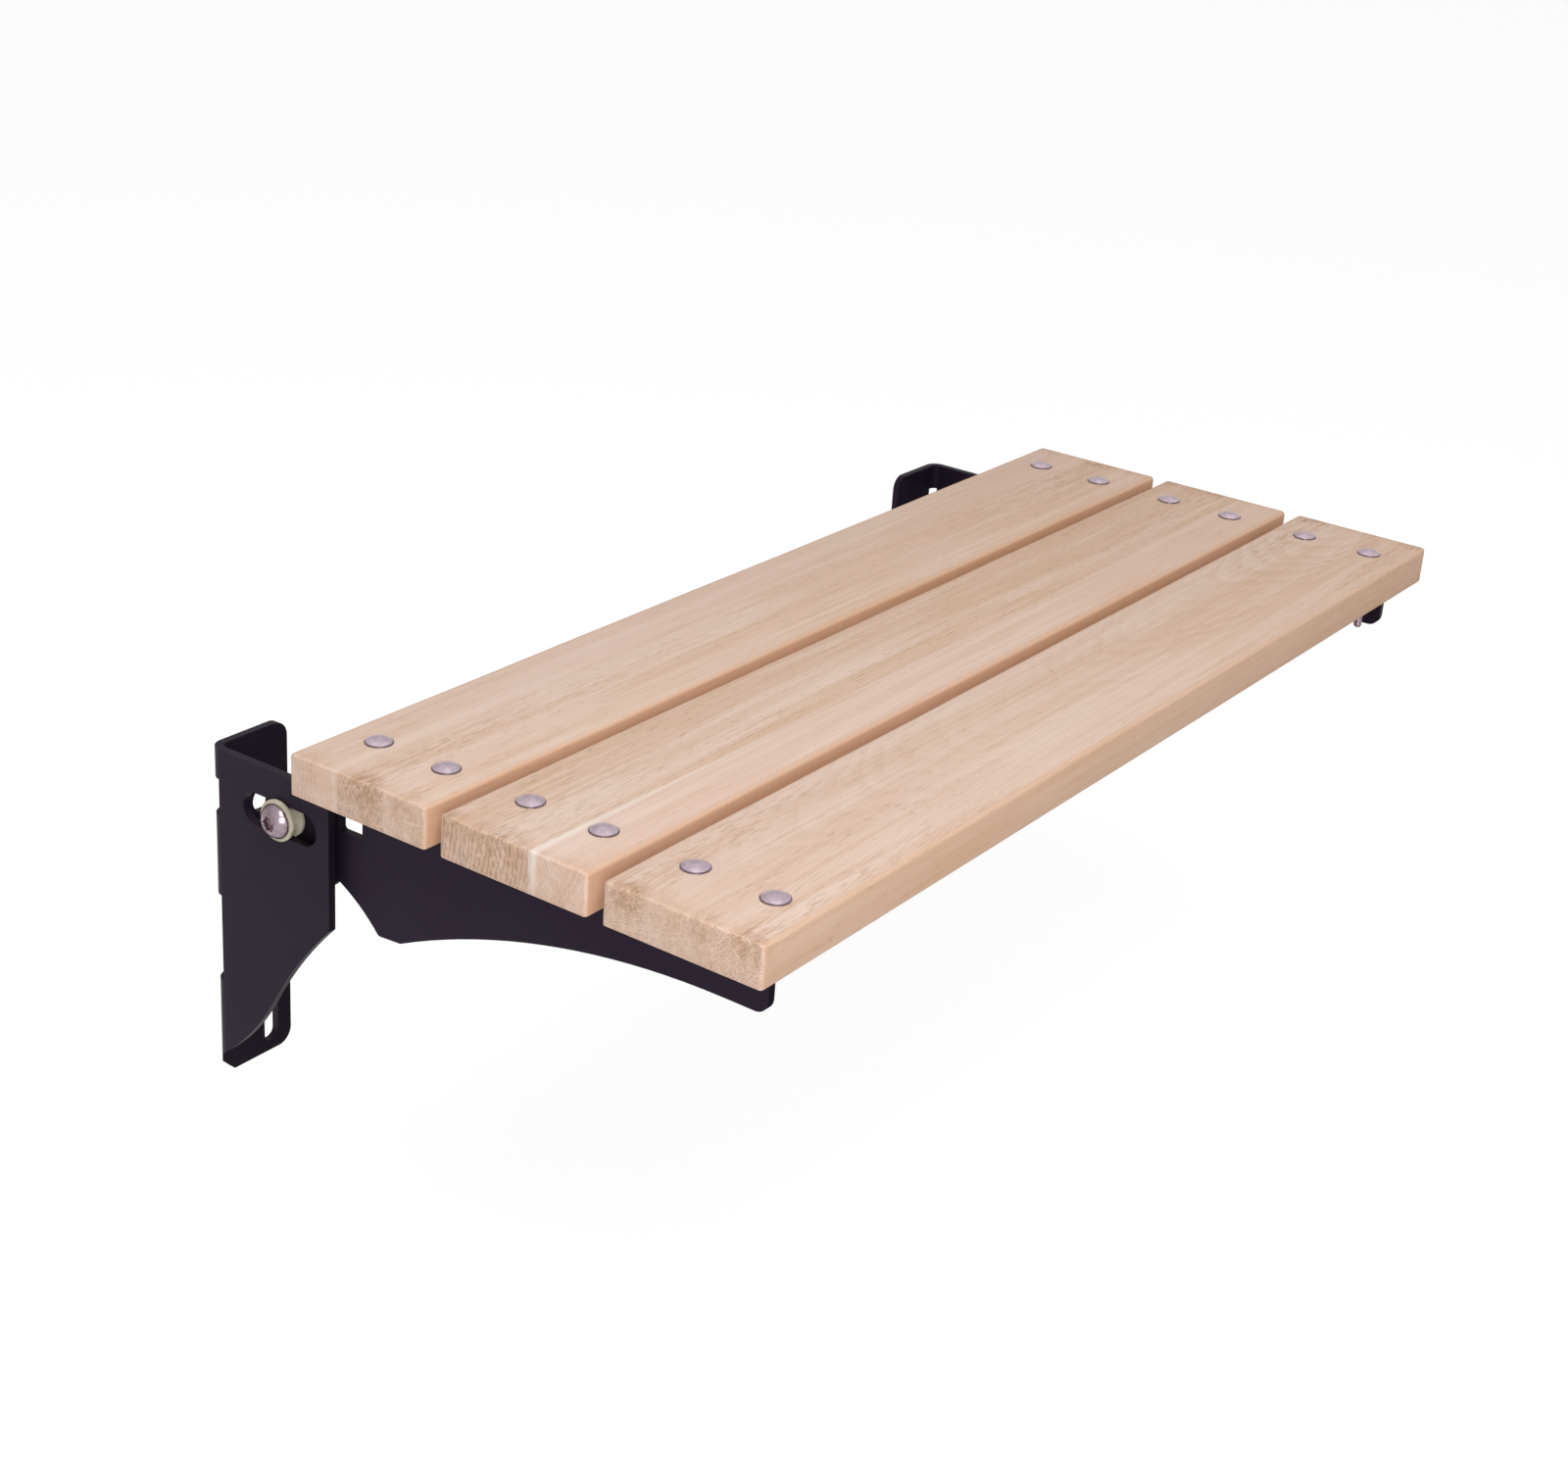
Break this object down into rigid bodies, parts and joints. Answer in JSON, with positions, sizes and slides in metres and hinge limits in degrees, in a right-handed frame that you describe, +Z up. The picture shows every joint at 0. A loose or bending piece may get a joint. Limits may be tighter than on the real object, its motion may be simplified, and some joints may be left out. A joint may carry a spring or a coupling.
{
  "type": "fold down wall seat",
  "caption": "Slatted oak bench seat on bent steel arms that swing and slide on screws in wall brackets, so it folds up flat against the wall.",
  "frame": {"origin": "on the wall plane at mid length, level with the centres of the upper wall slots", "axes": "+X along the seat to the right, +Y into the wall, +Z up"},
  "size_m": [0.8, 0.406, 0.2479],
  "materials": {
    "oak": "sawn and sanded, bare",
    "black_steel": "satin black powder coat",
    "satin_steel": "satin stainless",
    "polished_steel": "polished stainless",
    "natural_nylon": "natural nylon"
  },
  "bodies": {
    "wall_brackets": {"left_wall_bracket": "black_steel", "left_stop_stud": "black_steel", "right_wall_bracket": "black_steel", "right_stop_stud": "black_steel"},
    "pivots": {"left_pivot_screw": "polished_steel", "left_outer_nylon_washer": "natural_nylon", "left_slot_roller": "natural_nylon", "left_inner_nylon_washer": "natural_nylon", "left_pivot_washer": "polished_steel", "left_pivot_nut": "polished_steel", "right_pivot_screw": "polished_steel", "right_outer_nylon_washer": "natural_nylon", "right_slot_roller": "natural_nylon", "right_inner_nylon_washer": "natural_nylon", "right_pivot_washer": "polished_steel", "right_pivot_nut": "polished_steel"},
    "seat": {"rear_slat": "oak", "rear_slat_bolts": "satin_steel", "rear_slat_washers": "satin_steel", "rear_slat_nuts": "satin_steel", "middle_slat": "oak", "middle_slat_bolts": "satin_steel", "middle_slat_washers": "satin_steel", "middle_slat_nuts": "satin_steel", "front_slat": "oak", "front_slat_bolts": "satin_steel", "front_slat_washers": "satin_steel", "front_slat_nuts": "satin_steel", "left_seat_arm": "black_steel", "right_seat_arm": "black_steel"}
  },
  "joints": [
    {"name": "seat_fold", "type": "hinge", "parent": "pivots", "child": "seat", "pos_m": [0, -0.0575, 0.017], "axis": [-1, 0, 0], "range_deg": [0, 90]},
    {"name": "pivot_slide", "type": "slide", "parent": "wall_brackets", "child": "pivots", "axis": [0, -1, 0], "range_m": [0, 0.0185]}
  ],
  "couplings": [
    {"joint": "pivot_slide", "follows": "seat_fold", "m_per_rad": 0.01177}
  ]
}
